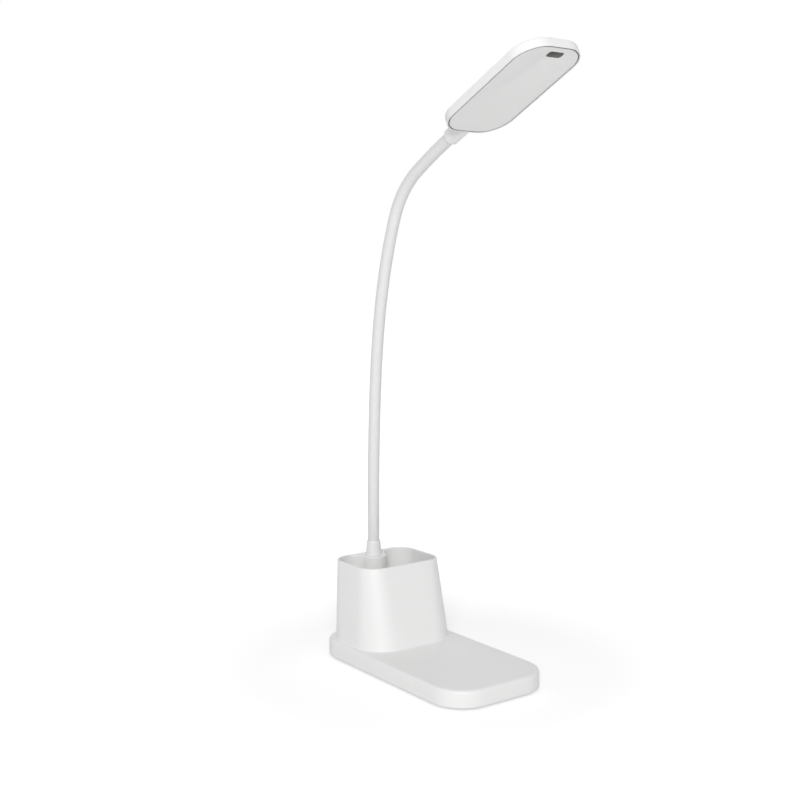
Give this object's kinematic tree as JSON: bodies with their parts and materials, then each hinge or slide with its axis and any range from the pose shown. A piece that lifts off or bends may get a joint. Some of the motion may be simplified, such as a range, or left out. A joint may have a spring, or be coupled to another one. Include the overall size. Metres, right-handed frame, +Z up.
{
  "type": "desk lamp",
  "caption": "Desk lamp with a low plate, an open pen cup on its back half, a bendable neck and a flat lighting head.",
  "frame": {"origin": "the middle of the plate in plan, on the desk plane that the foot ring rests on", "axes": "+Z up; -Y towards the plate's front, where the head reaches out; +X to the right seen from the front"},
  "size_m": [0.09, 0.2173, 0.4413],
  "materials": {
    "white_shell": "smooth white moulding with a soft sheen",
    "white_cover": "fine-grained white moulding",
    "foot_rubber": "soft pale grey rubber",
    "screw_steel": "plated steel",
    "weight_iron": "plain cast iron",
    "battery_foil": "foil pouch",
    "board_green": "solder mask",
    "chip_black": "moulded package",
    "socket_steel": "stamped steel",
    "plug_ivory": "plain nylon",
    "white_collar": "smooth white moulding",
    "white_sleeve": "smooth white sleeve with very faint rings",
    "hose_steel": "wound steel hose",
    "lead_cover": "insulated lead",
    "light_board": "white coated board",
    "light_chip": "phosphor coated package",
    "opal_diffuser": "opal, satin",
    "smoked_window": "smoked, glossy",
    "spring_brass": "bare spring wire"
  },
  "bodies": {
    "base": {"base_shell": "white_shell", "bottom_cover": "white_cover", "foot_ring": "foot_rubber", "cover_screws": "screw_steel", "counterweight": "weight_iron", "weight_screws": "screw_steel", "battery_cell": "battery_foil", "battery_leads": "lead_cover", "battery_plug": "plug_ivory", "control_board": "board_green", "board_screws": "screw_steel", "control_chips": "chip_black", "usb_socket": "socket_steel", "lower_collar": "white_collar", "neck_nut": "screw_steel", "neck_sleeve_1": "white_sleeve", "steel_hose_1": "hose_steel", "lamp_lead_1": "lead_cover"},
    "neck_link_2": {"neck_sleeve_2": "white_sleeve", "steel_hose_2": "hose_steel", "lamp_lead_2": "lead_cover"},
    "neck_link_3": {"neck_sleeve_3": "white_sleeve", "steel_hose_3": "hose_steel", "lamp_lead_3": "lead_cover"},
    "neck_link_4": {"neck_sleeve_4": "white_sleeve", "steel_hose_4": "hose_steel", "lamp_lead_4": "lead_cover"},
    "neck_link_5": {"neck_sleeve_5": "white_sleeve", "steel_hose_5": "hose_steel", "lamp_lead_5": "lead_cover"},
    "neck_link_6": {"neck_sleeve_6": "white_sleeve", "steel_hose_6": "hose_steel", "lamp_lead_6": "lead_cover"},
    "neck_link_7": {"neck_sleeve_7": "white_sleeve", "steel_hose_7": "hose_steel", "lamp_lead_7": "lead_cover"},
    "head": {"neck_sleeve_8": "white_sleeve", "steel_hose_8": "hose_steel", "lamp_lead_8": "lead_cover", "head_ferrule": "white_collar", "head_housing": "white_shell", "neck_clamp": "plug_ivory", "clamp_screws": "screw_steel", "light_board": "light_board", "light_board_screws": "screw_steel", "light_chips": "light_chip", "diffuser": "opal_diffuser", "touch_window": "smoked_window", "touch_spring": "spring_brass"}
  },
  "joints": [
    {"name": "neck_bend_1", "type": "hinge", "parent": "base", "child": "neck_link_2", "pos_m": [0, 0.0725, 0.1194], "axis": [1, 0, 0], "range_deg": [-24, 24]},
    {"name": "neck_swing_2", "type": "hinge", "parent": "neck_link_2", "child": "neck_link_3", "pos_m": [0, 0.07174, 0.16299], "axis": [0, 0.9994, 0.0349], "range_deg": [-24, 24]},
    {"name": "neck_bend_3", "type": "hinge", "parent": "neck_link_3", "child": "neck_link_4", "pos_m": [0, 0.06965, 0.20654], "axis": [1, 0, 0], "range_deg": [-24, 24]},
    {"name": "neck_swing_4", "type": "hinge", "parent": "neck_link_4", "child": "neck_link_5", "pos_m": [0, 0.06547, 0.24993], "axis": [0, 0.9914, 0.1305], "range_deg": [-24, 24]},
    {"name": "neck_bend_5", "type": "hinge", "parent": "neck_link_5", "child": "neck_link_6", "pos_m": [0, 0.05753, 0.29278], "axis": [1, 0, 0], "range_deg": [-24, 24]},
    {"name": "neck_swing_6", "type": "hinge", "parent": "neck_link_6", "child": "neck_link_7", "pos_m": [0, 0.04461, 0.33439], "axis": [0, 0.9336, 0.3584], "range_deg": [-24, 24]},
    {"name": "neck_bend_7", "type": "hinge", "parent": "neck_link_7", "child": "head", "pos_m": [0, 0.01735, 0.36745], "axis": [1, 0, 0], "range_deg": [-24, 24]}
  ]
}
